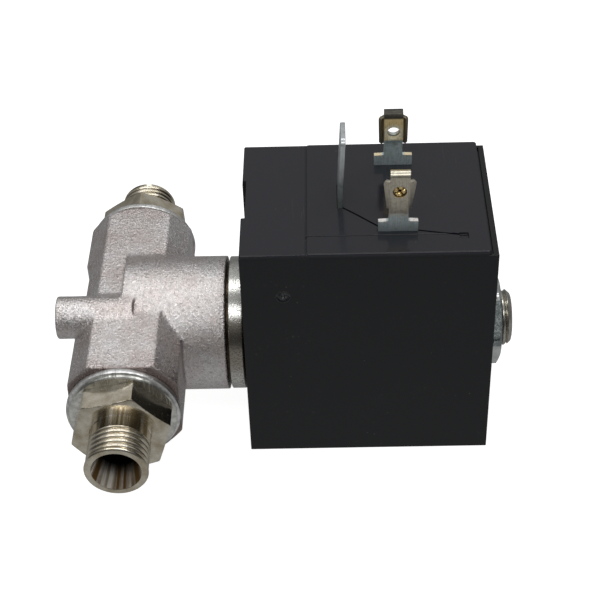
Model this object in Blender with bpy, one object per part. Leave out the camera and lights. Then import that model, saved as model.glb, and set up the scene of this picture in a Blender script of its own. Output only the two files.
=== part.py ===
"""Direct-acting solenoid valve with two nippled ports and a turnable plug-in coil.

Frame: metres, +Z up. The origin is the centre of the coil's underside, +X runs along the
plunger's axis from the valve body towards the coil nut, and the ports point to -Y and +Y.
"""
import bpy
import bmesh
from math import acos, cos, pi, radians, sin, tan
from mathutils import Vector

MM = 0.001
GAP = 0.3 * MM                     # clearance between pieces that touch
AXIS_Z = 16.5 * MM                 # height of the plunger's axis above the coil's underside
AXIS = Vector((0.0, 0.0, AXIS_Z))
ROUND = 36                         # sides of a round piece
FINE = 48                          # sides of a large round piece

# coil block
COIL_X = 20.4 * MM                 # half length
COIL_Y = 15.0 * MM                 # half depth
COIL_TOP = 42.45 * MM
LID_TOP = 43.3 * MM
LID_RIGHT = 19.1 * MM
LID_INSET = 0.1 * MM
SEAM_X = -9.8 * MM
SEAM_DROP = 0.15 * MM
NOTCH_HALF = 5.1 * MM
NOTCH_DEPTH = 0.7 * MM
NOTCH_LOW = 30.0 * MM
CAVITY_R = 11.6 * MM               # round cavity of the winding
CAVITY_X = 14.9 * MM
NUT_RECESS_R = 6.4 * MM
NUT_RECESS = 1.2 * MM

# flux frame, bobbin and winding
FRAME_X = 18.0 * MM
FRAME_Y = 11.0 * MM
FRAME_LOW = 2.0 * MM
FRAME_HIGH = 31.0 * MM
FRAME_T = 3.0 * MM
SLEEVE_R = 6.4 * MM
SLEEVE_X = (-14.6 * MM, -3.0 * MM)
HUB_R = 7.6 * MM
FLANGE_R = 11.1 * MM
FLANGE_T = 0.9 * MM
BOBBIN_X = 14.6 * MM
WINDING_R = 10.9 * MM

# terminals
BLADE_W = 6.3 * MM
BLADE_T = 0.8 * MM
BLADE_X = 4.75 * MM
BLADE_Y = 9.0 * MM
BLADE_LOW = 31.4 * MM
JOGGLE = 0.12 * MM                 # a blade's tang stands this far inside its upper part
SHOULDER_TOP = LID_TOP + 2.0 * MM
NECK_W = 3.1 * MM
WING_LOW = LID_TOP + 4.4 * MM
WING_W = (3.6 * MM, 4.85 * MM)
WING_TOP = LID_TOP + 9.45 * MM
STEP = 0.1 * MM                    # height of a stamped step in a strip's width
FOLD_Z = LID_TOP + 10.1 * MM       # centre of the fold
FOLD_R = 0.55 * MM                 # radius of the fold, along the middle of the sheet
FOLD_STEPS = 6
FLAP_END = LID_TOP + 6.3 * MM
BLADE_HOLE_R = 1.1 * MM
BLADE_HOLE_Z = LID_TOP + 7.6 * MM
TAB_X = -4.35 * MM
TAB_LEAN = 0.7 * MM                # the tab's top stands this far towards the terminals
TAB_TOP = LID_TOP + 12.95 * MM
TAB_CORNER = 1.0 * MM
LEAD_R = 0.3 * MM
LEAD_HOLE_R = 0.9 * MM             # hole for a lead in the flux frame

# guide tube, core, plunger
TUBE_R = 5.0 * MM
TUBE_BORE = 4.6 * MM
TUBE_X = (-27.9 * MM, 17.0 * MM)
TUBE_FLANGE_R = 8.6 * MM
TUBE_FLANGE_T = 1.0 * MM
COIL_BORE = TUBE_R + GAP
CORE_R = TUBE_BORE - GAP
CORE_FACE = 1.0 * MM
STUB_R = 4.85 * MM
STUB_END = 25.05 * MM
THREAD_PITCH = 1.0 * MM
THREAD_DEPTH = 0.45 * MM
SHADING_R = (3.0 * MM, 3.6 * MM)
SHADING_DEPTH = 0.9 * MM
PLUNGER_R = 4.2 * MM
PLUNGER_X = (-29.7 * MM, -0.8 * MM)
PLUNGER_POCKET_R = 2.5 * MM
PLUNGER_POCKET_X = -9.0 * MM
SEAL_R = 2.6 * MM
SEAL_X = (-30.2 * MM, -29.0 * MM)
SPRING_R = 1.85 * MM
SPRING_WIRE = 0.25 * MM
SPRING_TURNS = 7

# coil nut and seal
NUT_AF = 14.0 * MM
NUT_X = (COIL_X + GAP, 23.0 * MM)
NUT_TURN = radians(49.5)
NUT_SEAL_R = 5.8 * MM
NUT_SEAL_WIRE = 0.3 * MM

# collar and valve body
COLLAR_R = 11.5 * MM
COLLAR_X = (-23.4 * MM, -COIL_X - GAP)
COLLAR_GROOVE_R = 10.6 * MM
COLLAR_SKIRT_R = 8.7 * MM
COLLAR_SKIRT_X = -26.6 * MM
BOSS_R = 11.6 * MM
BOSS_X = (-41.2 * MM, -23.85 * MM)
BOSS_BORE_R = 9.0 * MM
BOSS_BORE_X = -29.5 * MM
CHAMBER_R = 7.4 * MM
CHAMBER_X = -32.5 * MM
BODY_SEAL_R = 8.2 * MM
BODY_SEAL_WIRE = 0.5 * MM
PORT_X = -40.4 * MM
BLOCK_X = -40.2 * MM               # middle of the port section, an oblong with cut corners
PORT_WIDE = 9.0 * MM               # half width of the port section
PORT_HIGH = 9.35 * MM              # half height of the port section
PORT_FLAT = 5.4 * MM               # half width of its flats
PORT_END = 21.35 * MM
PORT_CHAMFER = 0.5 * MM
SPIGOT_R = 3.6 * MM
SPIGOT_X = (-52.2 * MM, -39.2 * MM)
SPIGOT_Y = -6.0 * MM
SPIGOT_Z = 23.45 * MM
SOCKET_R = 6.9 * MM
SOCKET_END = 8.0 * MM
GALLERY_R = 2.2 * MM
OUTLET_END = 2.0 * MM
INLET_END = 4.4 * MM
CROSS_R = 1.4 * MM
CROSS_Y = 5.6 * MM
SEAT_R = 3.0 * MM
SEAT_X = (-36.5 * MM, -30.5 * MM)
SEAT_SHOULDER_X = -32.2 * MM
SEAT_RIM_R = 1.9 * MM
SEAT_BORE_R = 1.25 * MM

# port nipples: distances are measured from the plunger's axis along each port
WASHER_T = (PORT_END + GAP, 22.45 * MM)
WASHER_R = 9.4 * MM
STEM_R = 6.5 * MM
STEM_END = 12.0 * MM
NIPPLE_FLANGE_T = 22.75 * MM
NIPPLE_FLANGE_R = 8.9 * MM
HEX_AF = 14.7 * MM
HEX_T = (23.1 * MM, 27.6 * MM)
HEX_CHAMFER = 0.4 * MM
HEX_FACE_R = 7.1 * MM
CONE_R = (6.2 * MM, 5.0 * MM)
CONE_END = 28.6 * MM
PORT_THREAD_R = 5.0 * MM
PORT_THREAD_T = (30.2 * MM, 35.2 * MM)
PORT_RIM_T = 35.3 * MM
PORT_RIM_R = 4.6 * MM
MOUTH_R = 4.04 * MM
PIPE_R = 3.1 * MM
PIPE_END = 26.0 * MM
MOUTH_HALF_ANGLE = radians(12)
NIPPLE_BORE_R = 2.25 * MM
FRONT_TURN = radians(13)
REAR_TURN = radians(28)


def clear_scene():
    for obj in list(bpy.data.objects):
        bpy.data.objects.remove(obj, do_unlink=True)


def material(name, color, roughness, metallic):
    mat = bpy.data.materials.new(name)
    mat.use_nodes = True
    shader = mat.node_tree.nodes["Principled BSDF"]
    shader.inputs["Base Color"].default_value = (*color, 1.0)
    shader.inputs["Roughness"].default_value = roughness
    shader.inputs["Metallic"].default_value = metallic
    return mat


def finish(name, bm, mat, smooth=35):
    """Turn a bmesh into a named object, with sharp edges kept above the given angle."""
    bmesh.ops.recalc_face_normals(bm, faces=bm.faces)
    mesh = bpy.data.meshes.new(name)
    bm.to_mesh(mesh)
    bm.free()
    mesh.shade_smooth()
    mesh.set_sharp_from_angle(angle=radians(smooth))
    if mat:
        mesh.materials.append(mat)
    obj = bpy.data.objects.new(name, mesh)
    bpy.context.scene.collection.objects.link(obj)
    return obj


def box(name, low, high, mat, bevel=0.0):
    bm = bmesh.new()
    bmesh.ops.create_cube(bm, size=1.0)
    low, high = Vector(low), Vector(high)
    bmesh.ops.scale(bm, vec=high - low, verts=bm.verts)
    bmesh.ops.translate(bm, vec=(low + high) / 2, verts=bm.verts)
    obj = finish(name, bm, mat)
    if bevel:
        add_bevel(obj, bevel)
    return obj


def add_bevel(obj, width, segments=2):
    bevel = obj.modifiers.new("Bevel", "BEVEL")
    bevel.width = width
    bevel.segments = segments
    bevel.limit_method = "ANGLE"
    bevel.angle_limit = radians(40)


def prism(name, outline, depth, mat):
    """Extrude an outline in the local XY plane by depth along local Z."""
    bm = bmesh.new()
    face = bm.faces.new([bm.verts.new((x, y, 0.0)) for x, y in outline])
    grown = bmesh.ops.extrude_face_region(bm, geom=[face])
    moved = [v for v in grown["geom"] if isinstance(v, bmesh.types.BMVert)]
    bmesh.ops.translate(bm, vec=(0.0, 0.0, depth), verts=moved)
    return finish(name, bm, mat)


def turned(name, profile, mat, sides=ROUND, closed=False):
    """Turn a profile of (distance along local X, radius) about local X.

    A closed profile is a ring with a bore; an open one starts and ends on the axis.
    A radius may be a function of the angle, for a hexagon in a turned piece.
    """
    bm = bmesh.new()
    rings = []
    for along, radius in profile:
        if radius == 0:
            rings.append([bm.verts.new((along, 0.0, 0.0))])
            continue
        ring = []
        for i in range(sides):
            angle = 2 * pi * i / sides
            r = radius(angle) if callable(radius) else radius
            ring.append(bm.verts.new((along, r * cos(angle), r * sin(angle))))
        rings.append(ring)
    pairs = list(zip(rings, rings[1:]))
    if closed:
        pairs.append((rings[-1], rings[0]))
    for first, second in pairs:
        for i in range(sides):
            j = (i + 1) % sides
            corners = [first[i % len(first)], first[j % len(first)],
                       second[j % len(second)], second[i % len(second)]]
            bm.faces.new(list(dict.fromkeys(corners)))
    return finish(name, bm, mat)


def hexagon(across_flats, largest):
    """Radius of a hexagon with its corners turned down to the largest radius."""
    def radius(angle):
        from_flat = (angle % (pi / 3)) - pi / 6
        return min(across_flats / 2 / cos(from_flat), largest)
    return radius


def ridges(start, end, crest):
    """Profile points of a thread drawn as parallel ridges."""
    points = []
    for i in range(round((end - start) / THREAD_PITCH)):
        at = start + i * THREAD_PITCH
        points.append((at, crest - THREAD_DEPTH))
        points.append((at + THREAD_PITCH / 2, crest))
    return points


def torus(name, major, minor, mat, sides=ROUND, around=6):
    profile = []
    for i in range(around):
        angle = 2 * pi * i / around
        profile.append((minor * sin(angle), major + minor * cos(angle)))
    return turned(name, profile, mat, sides, closed=True)


def cylinder(name, start, end, radius, mat=None, sides=ROUND):
    return turned(name, [(start, 0), (start, radius), (end, radius), (end, 0)], mat, sides)


def place(obj, location=AXIS, turn=0.0, along="X"):
    """Stand a turned piece on the given axis: its local X becomes X, -Y, +Y or +Z."""
    heading = {"X": 0.0, "-Y": -pi / 2, "Y": pi / 2}
    obj.location = location
    if along == "Z":
        obj.rotation_euler = (0.0, -pi / 2, 0.0)
    else:
        obj.rotation_euler = (turn, 0.0, heading[along])
    return obj


def boolean(obj, other, operation):
    modifier = obj.modifiers.new(other.name, "BOOLEAN")
    modifier.operation = operation
    modifier.object = other
    other.hide_render = True
    other.display_type = "WIRE"


def cut(obj, *others):
    for other in others:
        boolean(obj, other, "DIFFERENCE")


def join(obj, *others):
    for other in others:
        boolean(obj, other, "UNION")


def make_materials():
    return {
        "black_plastic": material("black_plastic", (0.016, 0.016, 0.018), 0.45, 0.0),
        "cast_nickel": material("cast_nickel", (0.56, 0.51, 0.49), 0.48, 0.9),
        "bright_nickel": material("bright_nickel", (0.70, 0.66, 0.56), 0.18, 1.0),
        "zinc": material("zinc", (0.68, 0.69, 0.70), 0.25, 1.0),
        "aluminium": material("aluminium", (0.74, 0.75, 0.76), 0.35, 1.0),
        "stainless": material("stainless", (0.60, 0.58, 0.54), 0.28, 1.0),
        "brass": material("brass", (0.70, 0.52, 0.24), 0.30, 1.0),
        "tinned": material("tinned", (0.66, 0.67, 0.68), 0.30, 1.0),
        "copper": material("copper", (0.60, 0.24, 0.11), 0.35, 1.0),
        "steel": material("steel", (0.36, 0.36, 0.38), 0.45, 1.0),
        "rubber": material("rubber", (0.03, 0.03, 0.03), 0.80, 0.0),
        "green_rubber": material("green_rubber", (0.05, 0.11, 0.07), 0.75, 0.0),
        "bobbin_plastic": material("bobbin_plastic", (0.55, 0.50, 0.40), 0.50, 0.0),
    }


def make_coil_housing(mats):
    housing = box("coil_housing", (-COIL_X, -COIL_Y, 0), (COIL_X, COIL_Y, COIL_TOP),
                  mats["black_plastic"], bevel=0.25 * MM)
    lid_y = COIL_Y - LID_INSET
    sunk = COIL_TOP - 1.0 * MM
    lid = box("lid_right", (SEAM_X, -lid_y, sunk), (LID_RIGHT, lid_y, LID_TOP), None,
              bevel=0.25 * MM)
    lid_left = box("lid_left", (LID_INSET - COIL_X, -lid_y, sunk),
                   (SEAM_X + 1.0 * MM, lid_y, LID_TOP - SEAM_DROP), None, bevel=0.25 * MM)
    join(housing, lid, lid_left)

    notch = box("notch_cutter", (-COIL_X - MM, -NOTCH_HALF, NOTCH_LOW),
                (NOTCH_DEPTH - COIL_X, NOTCH_HALF, LID_TOP + MM), None)
    frame_room = box("frame_cutter", (-FRAME_X - GAP, -FRAME_Y - GAP, FRAME_LOW - GAP),
                     (FRAME_X + GAP, FRAME_Y + GAP, FRAME_HIGH + GAP), None)
    within = FRAME_T + GAP
    cut(frame_room, box("potting", (within - FRAME_X, -COIL_Y, FRAME_LOW + within),
                        (FRAME_X - within, COIL_Y, FRAME_HIGH - within), None))
    winding_room = place(cylinder("winding_cutter", -CAVITY_X, CAVITY_X, CAVITY_R, sides=FINE))
    bore = place(cylinder("bore_cutter", -COIL_X - MM, COIL_X + MM, COIL_BORE))
    recess = place(cylinder("recess_cutter", COIL_X - NUT_RECESS, COIL_X + MM, NUT_RECESS_R))
    cut(housing, notch, frame_room, winding_room, bore, recess)

    slot_x = BLADE_W / 2 + GAP
    slot_y = BLADE_T / 2 + JOGGLE + GAP
    for side in (-1, 1):
        y = side * BLADE_Y
        low = AXIS_Z + 6.0 * MM
        cut(housing, box(f"blade_cutter_{side}", (BLADE_X - slot_x, y - slot_y, low),
                         (BLADE_X + slot_x, y + slot_y, LID_TOP + MM), None))
    cut(housing, box("tab_cutter", (TAB_X - slot_y, -slot_x, FRAME_HIGH),
                     (TAB_X + slot_y, slot_x, LID_TOP + MM), None))


def ribbon(name, stations, thickness, mat):
    """A strip of sheet that runs up local Z and bends in local Y.

    Each station is (offset along Y, height, width, direction of the strip in YZ).
    """
    bm = bmesh.new()
    rings = []
    for offset, height, width, (ahead_y, ahead_z) in stations:
        ring = []
        for across, depth in ((-1, -1), (1, -1), (1, 1), (-1, 1)):
            y = offset + depth * ahead_z * thickness / 2
            z = height - depth * ahead_y * thickness / 2
            ring.append(bm.verts.new((across * width / 2, y, z)))
        rings.append(ring)
    for first, second in zip(rings, rings[1:]):
        for i in range(4):
            j = (i + 1) % 4
            bm.faces.new((first[i], first[j], second[j], second[i]))
    bm.faces.new(rings[0])
    bm.faces.new(rings[-1])
    return finish(name, bm, mat)


def make_blade(name, side, mats):
    """A power terminal: a stamped strip whose top folds over towards the coil's middle."""
    up = (0.0, 1.0)
    low = LID_TOP + GAP
    stations = [(JOGGLE, BLADE_LOW, BLADE_W, up), (JOGGLE, low, BLADE_W, up),
                (0.0, low + STEP, BLADE_W, up), (0.0, SHOULDER_TOP, BLADE_W, up),
                (0.0, SHOULDER_TOP + STEP, NECK_W, up), (0.0, WING_LOW, NECK_W, up),
                (0.0, WING_LOW + STEP, WING_W[0], up), (0.0, WING_TOP, WING_W[1], up),
                (0.0, WING_TOP + STEP, NECK_W, up), (0.0, FOLD_Z, NECK_W, up)]
    for i in range(1, FOLD_STEPS + 1):
        angle = pi * i / FOLD_STEPS
        stations.append((FOLD_R * (1 - cos(angle)), FOLD_Z + FOLD_R * sin(angle), NECK_W,
                         (sin(angle), cos(angle))))
    stations.append((2 * FOLD_R, FLAP_END, NECK_W, (0.0, -1.0)))
    blade = ribbon(name, stations, BLADE_T, mats["brass"])
    blade.location = (BLADE_X, side * BLADE_Y, 0)
    blade.rotation_euler = (0.0, 0.0, pi if side > 0 else 0.0)
    drill = cylinder(name + "_drill", -3.0 * MM, 3.0 * MM, BLADE_HOLE_R, sides=20)
    place(drill, (BLADE_X, side * BLADE_Y, BLADE_HOLE_Z), along="Y")
    cut(blade, drill)


def make_ground_tab(mats):
    """The earth blade stands at right angles to the power terminals and leans a little."""
    up = (0.0, 1.0)
    corner = TAB_TOP - TAB_CORNER
    lean = -TAB_LEAN * (corner - LID_TOP) / (TAB_TOP - LID_TOP)
    stations = [(0.0, FRAME_HIGH + GAP, BLADE_W, up), (0.0, LID_TOP, BLADE_W, up),
                (lean, corner, BLADE_W, up), (-TAB_LEAN, TAB_TOP, BLADE_W - 2 * TAB_CORNER, up)]
    tab = ribbon("ground_tab", stations, BLADE_T, mats["tinned"])
    tab.rotation_euler = (0.0, 0.0, pi / 2)
    tab.location = (TAB_X, 0, 0)


def make_flux_frame(mats):
    """Steel U-frame around the winding, its end plate, and a sleeve round the plunger."""
    inner = FRAME_X - FRAME_T
    outline = [(-FRAME_X, FRAME_LOW), (inner - GAP, FRAME_LOW), (inner - GAP, FRAME_LOW + FRAME_T),
               (-inner, FRAME_LOW + FRAME_T), (-inner, FRAME_HIGH - FRAME_T),
               (inner - GAP, FRAME_HIGH - FRAME_T), (inner - GAP, FRAME_HIGH),
               (-FRAME_X, FRAME_HIGH)]
    frame = prism("yoke_frame", outline, 2 * FRAME_Y, mats["steel"])
    frame.rotation_euler = (pi / 2, 0.0, 0.0)
    frame.location = (0, FRAME_Y, 0)
    cut(frame, place(cylinder("frame_bore", -FRAME_X - MM, -inner + MM, COIL_BORE)))
    for side in (-1, 1):
        hole = cylinder(f"lead_hole_{side}", FRAME_HIGH - FRAME_T - MM, FRAME_HIGH + MM,
                        LEAD_HOLE_R, sides=12)
        cut(frame, place(hole, (BLADE_X, side * BLADE_Y, 0), along="Z"))

    plate = box("yoke_plate", (inner, -FRAME_Y, FRAME_LOW), (FRAME_X, FRAME_Y, FRAME_HIGH),
                mats["steel"])
    cut(plate, place(cylinder("plate_bore", inner - MM, FRAME_X + MM, COIL_BORE)))

    sleeve = [(SLEEVE_X[0], COIL_BORE), (SLEEVE_X[0], SLEEVE_R), (SLEEVE_X[1], SLEEVE_R),
              (SLEEVE_X[1], COIL_BORE)]
    place(turned("flux_sleeve", sleeve, mats["steel"], closed=True))


def make_winding(mats):
    """Bobbin with its flanges, the copper winding on it, and the two leads."""
    bore = SLEEVE_R + GAP
    inside = BOBBIN_X - FLANGE_T
    bobbin = [(-BOBBIN_X, bore), (-BOBBIN_X, FLANGE_R), (-inside, FLANGE_R), (-inside, HUB_R),
              (inside, HUB_R), (inside, FLANGE_R), (BOBBIN_X, FLANGE_R), (BOBBIN_X, bore)]
    place(turned("bobbin", bobbin, mats["bobbin_plastic"], FINE, closed=True))

    end = inside - GAP
    low = HUB_R + GAP
    winding = [(-end, low), (-end, WINDING_R - 0.2 * MM), (0.2 * MM - end, WINDING_R),
               (end - 0.2 * MM, WINDING_R), (end, WINDING_R - 0.2 * MM), (end, low)]
    place(turned("winding", winding, mats["copper"], FINE, closed=True))

    on_winding = AXIS_Z + WINDING_R * sin(acos(BLADE_Y / WINDING_R)) + 2 * GAP
    for name, side in (("lead_front", -1), ("lead_rear", 1)):
        lead = cylinder(name, on_winding, BLADE_LOW - GAP, LEAD_R, mats["copper"], sides=10)
        place(lead, (BLADE_X, side * BLADE_Y, 0), along="Z")


def make_tube_and_core(mats):
    flange_end = TUBE_X[0] + TUBE_FLANGE_T
    tube = [(TUBE_X[0], TUBE_BORE), (TUBE_X[0], TUBE_FLANGE_R), (flange_end, TUBE_FLANGE_R),
            (flange_end, TUBE_R), (TUBE_X[1], TUBE_R), (TUBE_X[1], TUBE_BORE)]
    place(turned("armature_tube", tube, mats["stainless"], closed=True))

    groove = (SHADING_R[0] - GAP, SHADING_R[1] + GAP)
    floor = CORE_FACE + SHADING_DEPTH + 2 * GAP
    shoulder = TUBE_X[1] + GAP
    core = [(CORE_FACE, 0), (CORE_FACE, groove[0]), (floor, groove[0]), (floor, groove[1]),
            (CORE_FACE, groove[1]), (CORE_FACE, CORE_R), (shoulder, CORE_R),
            (shoulder, STUB_R - THREAD_DEPTH)]
    core += ridges(NUT_X[1] - 0.4 * MM, STUB_END - 0.4 * MM, STUB_R)
    core += [(STUB_END - 0.35 * MM, STUB_R - 0.25 * MM), (STUB_END, STUB_R - 0.75 * MM),
             (STUB_END, 0)]
    place(turned("fixed_core", core, mats["stainless"]))

    near = CORE_FACE + GAP
    ring = [(near, SHADING_R[0]), (near, SHADING_R[1]), (near + SHADING_DEPTH, SHADING_R[1]),
            (near + SHADING_DEPTH, SHADING_R[0])]
    place(turned("shading_ring", ring, mats["copper"], closed=True))


def make_plunger(mats):
    """The plunger's origin, and its seal's, is on the plunger's axis."""
    nose, back = PLUNGER_X
    cup = SEAL_R + GAP
    profile = [(nose + MM, 0), (nose + MM, cup), (nose, cup), (nose, PLUNGER_R - 0.6 * MM),
               (nose + 1.2 * MM, PLUNGER_R - 0.6 * MM), (nose + 1.4 * MM, PLUNGER_R),
               (back - 0.3 * MM, PLUNGER_R), (back, PLUNGER_R - 0.3 * MM),
               (back, PLUNGER_POCKET_R), (PLUNGER_POCKET_X, PLUNGER_POCKET_R),
               (PLUNGER_POCKET_X, 0)]
    place(turned("plunger", profile, mats["steel"]))
    place(cylinder("plunger_seal", SEAL_X[0], SEAL_X[1], SEAL_R, mats["green_rubber"]))


def make_spring(mats):
    """Return spring between the plunger's pocket and the fixed core."""
    start = PLUNGER_POCKET_X + GAP + SPRING_WIRE
    end = CORE_FACE - GAP - SPRING_WIRE
    per_turn = 10
    count = SPRING_TURNS * per_turn
    curve = bpy.data.curves.new("plunger_spring", "CURVE")
    curve.dimensions = "3D"
    curve.bevel_depth = SPRING_WIRE
    curve.bevel_resolution = 0
    curve.use_fill_caps = True
    curve.materials.append(mats["stainless"])
    line = curve.splines.new("POLY")
    line.points.add(count)
    for i, point in enumerate(line.points):
        angle = 2 * pi * i / per_turn
        along = start + (end - start) * i / count
        point.co = (along, SPRING_R * cos(angle), SPRING_R * sin(angle), 1.0)
    spring = bpy.data.objects.new("plunger_spring", curve)
    bpy.context.scene.collection.objects.link(spring)
    place(spring)


def make_nut(mats):
    bore = STUB_R + GAP
    low, high = NUT_X
    full = hexagon(NUT_AF, NUT_AF)
    rounded = hexagon(NUT_AF, NUT_AF / 2 * 0.99)
    nut = [(low, bore), (low, full), (high - 0.55 * MM, full), (high, rounded),
           (high, bore + 0.3 * MM), (high - 0.3 * MM, bore)]
    place(turned("coil_nut", nut, mats["zinc"], FINE, closed=True), turn=NUT_TURN)
    seal = torus("nut_seal", NUT_SEAL_R, NUT_SEAL_WIRE, mats["rubber"], 24)
    place(seal, AXIS + Vector((COIL_X - NUT_RECESS / 2, 0, 0)))


def make_collar(mats):
    bore = TUBE_R + GAP
    low, high = COLLAR_X
    collar = [(COLLAR_SKIRT_X, bore), (COLLAR_SKIRT_X, COLLAR_SKIRT_R),
              (BOSS_X[1] + GAP, COLLAR_SKIRT_R), (BOSS_X[1] + GAP, COLLAR_GROOVE_R),
              (low, COLLAR_GROOVE_R), (low, COLLAR_R), (high - 0.2 * MM, COLLAR_R),
              (high, COLLAR_R - 0.2 * MM), (high, bore)]
    place(turned("tube_collar", collar, mats["zinc"], FINE, closed=True))


def make_valve_body(mats):
    """Octagonal port section, round boss and spigot in one piece, with its flow passages."""
    body = place(cylinder("valve_body", BOSS_X[0], BOSS_X[1], BOSS_R, mats["cast_nickel"], FINE))
    port_centre = Vector((PORT_X, 0, AXIS_Z))
    outline = [(PORT_WIDE, -PORT_FLAT), (PORT_WIDE, PORT_FLAT), (PORT_FLAT, PORT_HIGH),
               (-PORT_FLAT, PORT_HIGH), (-PORT_WIDE, PORT_FLAT), (-PORT_WIDE, -PORT_FLAT),
               (-PORT_FLAT, -PORT_HIGH), (PORT_FLAT, -PORT_HIGH)]
    octagon = prism("octagon", outline, 2 * PORT_END, None)
    octagon.rotation_euler = (pi / 2, 0.0, 0.0)
    octagon.location = (BLOCK_X, PORT_END, AXIS_Z)
    add_bevel(octagon, PORT_CHAMFER, segments=1)
    octagon.modifiers["Bevel"].angle_limit = radians(60)
    spigot = place(cylinder("spigot", SPIGOT_X[0], SPIGOT_X[1], SPIGOT_R, sides=32),
                   (0, SPIGOT_Y, SPIGOT_Z))
    join(body, octagon, spigot)

    outside = BOSS_X[1] + MM
    seat_hole = SEAT_R + GAP
    passage = SEAT_BORE_R + GAP
    bore = [(PORT_X, 0), (PORT_X, passage), (SEAT_X[0] - GAP, passage),
            (SEAT_X[0] - GAP, seat_hole), (CHAMBER_X, seat_hole), (CHAMBER_X, CHAMBER_R),
            (BOSS_BORE_X, CHAMBER_R), (BOSS_BORE_X, BOSS_BORE_R), (outside, BOSS_BORE_R),
            (outside, 0)]
    cut(body, place(turned("plunger_bore", bore, None)))
    for along, end in (("-Y", -OUTLET_END), ("Y", INLET_END)):
        outside = PORT_END + MM
        port = [(end, 0), (end, GALLERY_R), (SOCKET_END, GALLERY_R), (SOCKET_END, SOCKET_R),
                (outside, SOCKET_R), (outside, 0)]
        cut(body, place(turned("port" + along, port, None), port_centre, along=along))
    cut(body, place(cylinder("cross_passage", PORT_X, CHAMBER_X + MM, CROSS_R, sides=20),
                    (0, CROSS_Y, AXIS_Z)))

    seal = torus("body_seal", BODY_SEAL_R, BODY_SEAL_WIRE, mats["rubber"])
    place(seal, AXIS + Vector(((TUBE_X[0] + BOSS_BORE_X) / 2, 0, 0)))
    seat = [(SEAT_X[0], SEAT_BORE_R), (SEAT_X[0], SEAT_R), (SEAT_SHOULDER_X, SEAT_R),
            (SEAT_X[1], SEAT_RIM_R), (SEAT_X[1], SEAT_BORE_R)]
    place(turned("seat_insert", seat, mats["brass"], 24, closed=True))


def make_nipple(name, along, turn, mats):
    """Stem in the body, flange, hexagon, neck, outer thread, and a coned mouth for the pipe."""
    full = hexagon(HEX_AF, HEX_AF)
    faced = hexagon(HEX_AF, HEX_FACE_R)
    cone_depth = (MOUTH_R - PIPE_R) / tan(MOUTH_HALF_ANGLE)
    profile = [(STEM_END, NIPPLE_BORE_R), (STEM_END, STEM_R),
               (NIPPLE_FLANGE_T, STEM_R), (NIPPLE_FLANGE_T, NIPPLE_FLANGE_R),
               (HEX_T[0], NIPPLE_FLANGE_R), (HEX_T[0] + 0.05 * MM, full),
               (HEX_T[1] - HEX_CHAMFER, full), (HEX_T[1], faced),
               (HEX_T[1], CONE_R[0]), (CONE_END, CONE_R[1]),
               (PORT_THREAD_T[0] - THREAD_PITCH / 2, PORT_THREAD_R)]
    profile += ridges(PORT_THREAD_T[0], PORT_THREAD_T[1], PORT_THREAD_R)
    profile += [(PORT_RIM_T, PORT_RIM_R), (PORT_RIM_T, MOUTH_R),
                (PORT_RIM_T - cone_depth, PIPE_R),
                (PIPE_END, PIPE_R), (PIPE_END, NIPPLE_BORE_R)]
    nipple = turned(name, profile, mats["bright_nickel"], closed=True)
    place(nipple, (PORT_X, 0, AXIS_Z), turn, along)


def make_washer(name, along, mats):
    bore = STEM_R + GAP
    profile = [(WASHER_T[0], bore), (WASHER_T[0], WASHER_R), (WASHER_T[1], WASHER_R),
               (WASHER_T[1], bore)]
    washer = turned(name, profile, mats["aluminium"], closed=True)
    place(washer, (PORT_X, 0, AXIS_Z), along=along)


def main():
    clear_scene()
    mats = make_materials()
    make_coil_housing(mats)
    make_blade("terminal_front", -1, mats)
    make_blade("terminal_rear", 1, mats)
    make_ground_tab(mats)
    make_flux_frame(mats)
    make_winding(mats)
    make_tube_and_core(mats)
    make_plunger(mats)
    make_spring(mats)
    make_nut(mats)
    make_collar(mats)
    make_valve_body(mats)
    for port, along, turn in (("front", "-Y", FRONT_TURN), ("rear", "Y", REAR_TURN)):
        make_nipple("nipple_" + port, along, turn, mats)
        make_washer("washer_" + port, along, mats)


main()
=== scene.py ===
"""Looks of a solenoid valve: plated body and nipples, black plug-in coil, stamped terminals."""
from math import atan2, cos, hypot, pi, radians, sin, tan
import bmesh
import bpy
import numpy as np
from mathutils import Euler, Matrix, Vector, noise


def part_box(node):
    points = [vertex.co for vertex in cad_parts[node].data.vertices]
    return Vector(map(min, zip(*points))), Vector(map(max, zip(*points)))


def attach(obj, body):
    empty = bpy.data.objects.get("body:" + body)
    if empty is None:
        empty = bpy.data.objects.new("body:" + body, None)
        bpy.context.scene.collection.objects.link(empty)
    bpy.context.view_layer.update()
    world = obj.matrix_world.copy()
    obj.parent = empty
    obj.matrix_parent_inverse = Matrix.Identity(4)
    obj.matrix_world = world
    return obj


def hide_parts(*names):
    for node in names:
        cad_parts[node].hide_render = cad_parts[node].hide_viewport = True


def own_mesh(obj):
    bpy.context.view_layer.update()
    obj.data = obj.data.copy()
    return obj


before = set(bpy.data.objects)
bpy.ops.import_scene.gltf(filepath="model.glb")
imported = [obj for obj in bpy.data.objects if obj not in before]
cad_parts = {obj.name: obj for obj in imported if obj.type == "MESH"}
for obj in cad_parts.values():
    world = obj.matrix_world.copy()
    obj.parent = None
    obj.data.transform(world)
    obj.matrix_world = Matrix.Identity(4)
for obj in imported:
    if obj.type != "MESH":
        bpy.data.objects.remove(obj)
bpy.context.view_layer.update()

# Shapes are worked out in millimetres and scaled to metres when they become objects.
MM = 0.001


def span(node):
    """Low and high corner of a CAD node, in millimetres."""
    low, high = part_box(node)
    return low / MM, high / MM


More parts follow.
